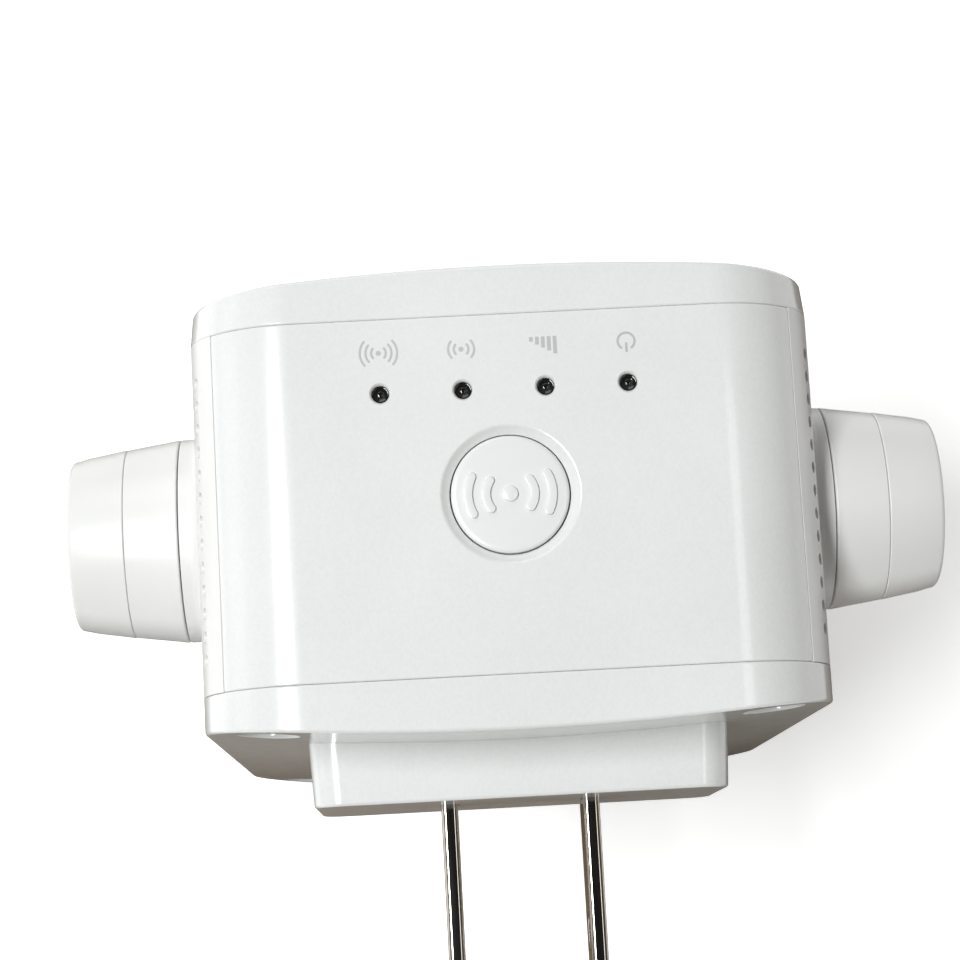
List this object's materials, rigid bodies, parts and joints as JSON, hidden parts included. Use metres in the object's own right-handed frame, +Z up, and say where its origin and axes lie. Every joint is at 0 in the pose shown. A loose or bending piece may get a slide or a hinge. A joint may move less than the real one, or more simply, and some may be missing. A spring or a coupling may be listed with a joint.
{
  "type": "wifi range extender",
  "caption": "Plug-in wireless range extender with a crowned white housing, a pairing button and lights on top, and an antenna that swings on each side.",
  "frame": {"origin": "centre of the plug face, midway between the two blades", "axes": "+Y out of the plug face into the wall socket, -Y into the room, +Z up, +X to the right as seen from the room"},
  "size_m": [0.0778, 0.0621, 0.0796],
  "materials": {
    "white_gloss": "glossy moulded ABS with a fine pearl fleck",
    "white_satin": "satin moulded ABS",
    "nickel": "polished nickel plate",
    "steel": "zinc plated",
    "tin": "tin plated",
    "smoked_lens": "smoked clear plastic",
    "lamp": "moulded lamp",
    "board_green": "lacquered circuit board",
    "board_tan": "paper phenolic board",
    "heat_sink": "extruded",
    "pad_grey": "soft silicone",
    "black_plastic": "moulded",
    "gold": "gold plated",
    "ferrite": "sintered ferrite",
    "tape_yellow": "polyester tape",
    "can_black": "shrink sleeve",
    "fuse_brown": "dipped",
    "disc_blue": "dipped ceramic",
    "white_block": "moulded",
    "film": "polyester film",
    "cable_grey": "flexible jacket"
  },
  "bodies": {
    "housing": {"front_cover": "white_gloss", "top_panel": "white_gloss", "body_sleeve": "white_gloss", "rear_cover": "white_gloss", "plug_block": "white_gloss", "left_blade": "nickel", "right_blade": "nickel", "rear_screws": "steel", "pairing_switch": "black_plastic", "light_guide": "smoked_lens", "status_lights": "lamp", "main_board": "board_green", "main_board_screws": "steel", "processor_shield": "tin", "radio_shield": "tin", "heat_sink": "heat_sink", "thermal_pad": "pad_grey", "board_chips": "black_plastic", "crystal": "tin", "coax_sockets": "gold", "ethernet_jack": "black_plastic", "ethernet_contacts": "gold", "ethernet_transformer": "black_plastic", "reset_switch": "black_plastic", "power_board": "board_tan", "power_board_screws": "steel", "transformer_core": "ferrite", "transformer_winding": "tape_yellow", "input_capacitors": "can_black", "output_capacitor": "can_black", "fuse": "fuse_brown", "bridge_rectifier": "black_plastic", "mains_choke": "black_plastic", "safety_capacitor": "disc_blue", "opto_coupler": "white_block", "board_header": "black_plastic", "insulating_sheet": "film", "left_washer": "steel", "left_coax": "cable_grey", "right_washer": "steel", "right_coax": "cable_grey"},
    "pairing_button": {"pairing_button": "white_gloss", "pairing_plunger": "black_plastic"},
    "reset_plunger": {"reset_plunger": "black_plastic"},
    "left_antenna": {"left_antenna_inner": "white_satin", "left_antenna_outer": "white_satin", "left_radiator": "board_green", "left_antenna_lead": "cable_grey", "left_retainer": "steel"},
    "right_antenna": {"right_antenna_inner": "white_satin", "right_antenna_outer": "white_satin", "right_radiator": "board_green", "right_antenna_lead": "cable_grey", "right_retainer": "steel"}
  },
  "joints": [
    {"name": "pairing_press", "type": "slide", "parent": "housing", "child": "pairing_button", "axis": [0, 0, -1], "range_m": [0, 0.0005], "stiffness_N_per_m": 2500, "springref_m": -0.0003},
    {"name": "reset_press", "type": "slide", "parent": "housing", "child": "reset_plunger", "axis": [0, 0, 1], "range_m": [0, 0.0003], "stiffness_N_per_m": 2500, "springref_m": -0.0003},
    {"name": "left_antenna_swing", "type": "hinge", "parent": "housing", "child": "left_antenna", "pos_m": [-0.0285, -0.025, 0.003], "axis": [-1, 0, 0], "range_deg": [-8, 172]},
    {"name": "right_antenna_swing", "type": "hinge", "parent": "housing", "child": "right_antenna", "pos_m": [0.0285, -0.025, 0.003], "axis": [-1, 0, 0], "range_deg": [-8, 172]}
  ]
}
